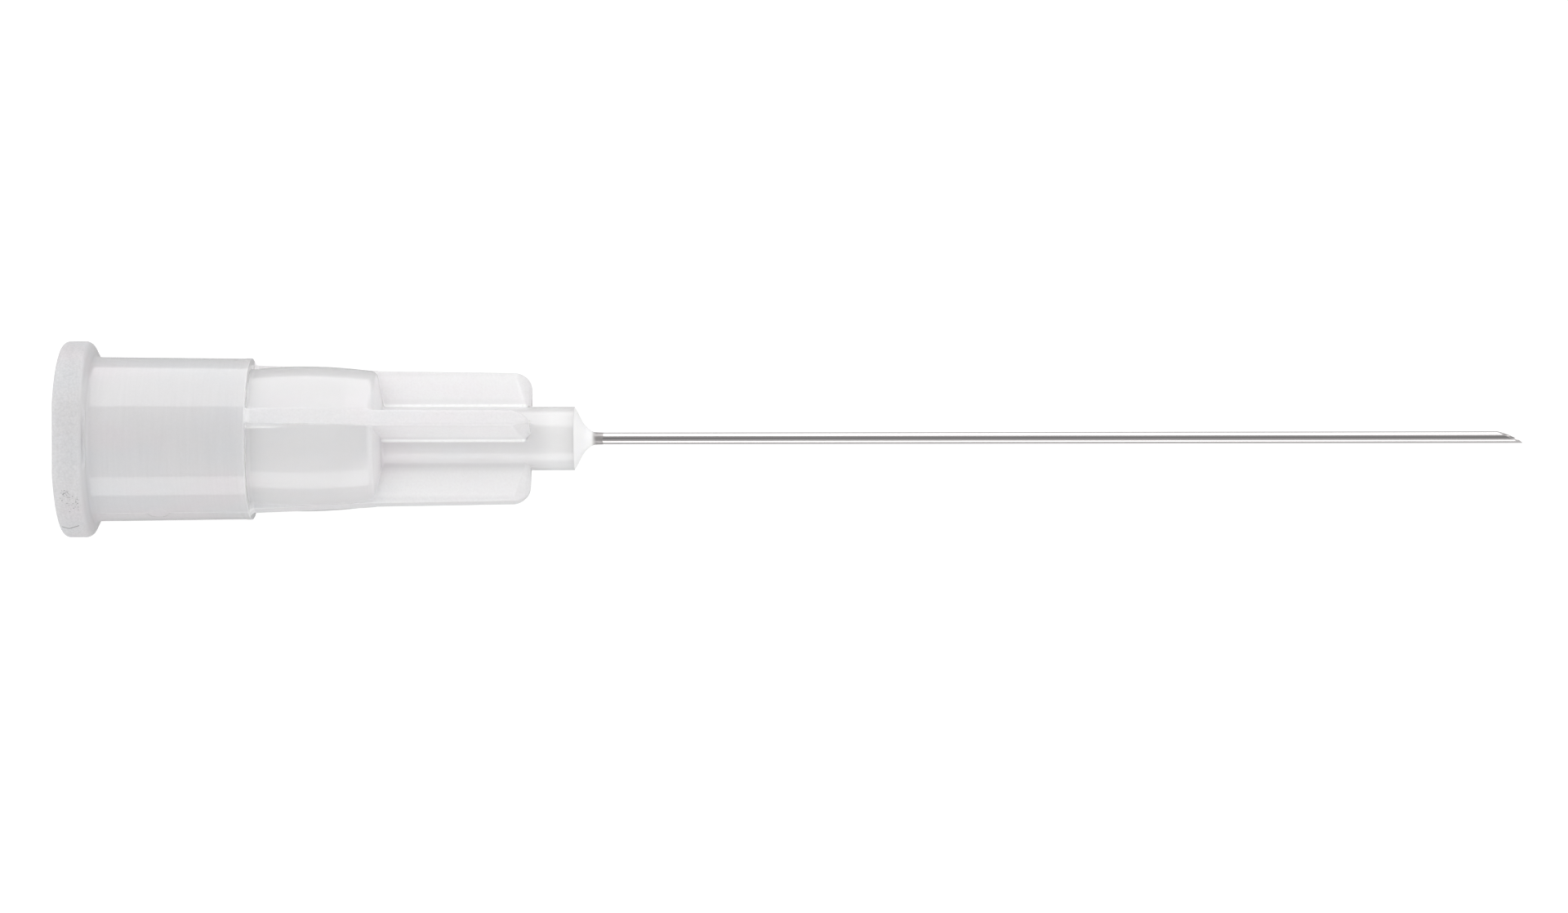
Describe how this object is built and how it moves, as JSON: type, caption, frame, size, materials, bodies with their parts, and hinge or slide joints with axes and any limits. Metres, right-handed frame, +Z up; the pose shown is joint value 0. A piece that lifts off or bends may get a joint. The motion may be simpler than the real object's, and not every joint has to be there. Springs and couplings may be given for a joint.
{
  "type": "hypodermic needle",
  "caption": "Hypodermic needle lying on its side: translucent hub with a Luer socket, lock flange and grip fins, and a long thin bevelled steel cannula bonded into the nose with adhesive.",
  "frame": {"origin": "centre of the hub's mouth, on the axis of the Luer socket", "axes": "+X along the cannula towards the tip; -X out of the socket's mouth; +Z up, away from the surface that the needle lies on, square to the flange's two flats; +Y across"},
  "size_m": [0.058, 0.0078, 0.0072],
  "materials": {
    "hub_plastic": "satin",
    "cannula_steel": "polished",
    "bond_adhesive": "gloss"
  },
  "bodies": {
    "root": {"hub": "hub_plastic", "cannula": "cannula_steel", "adhesive_bond": "bond_adhesive"}
  },
  "joints": []
}
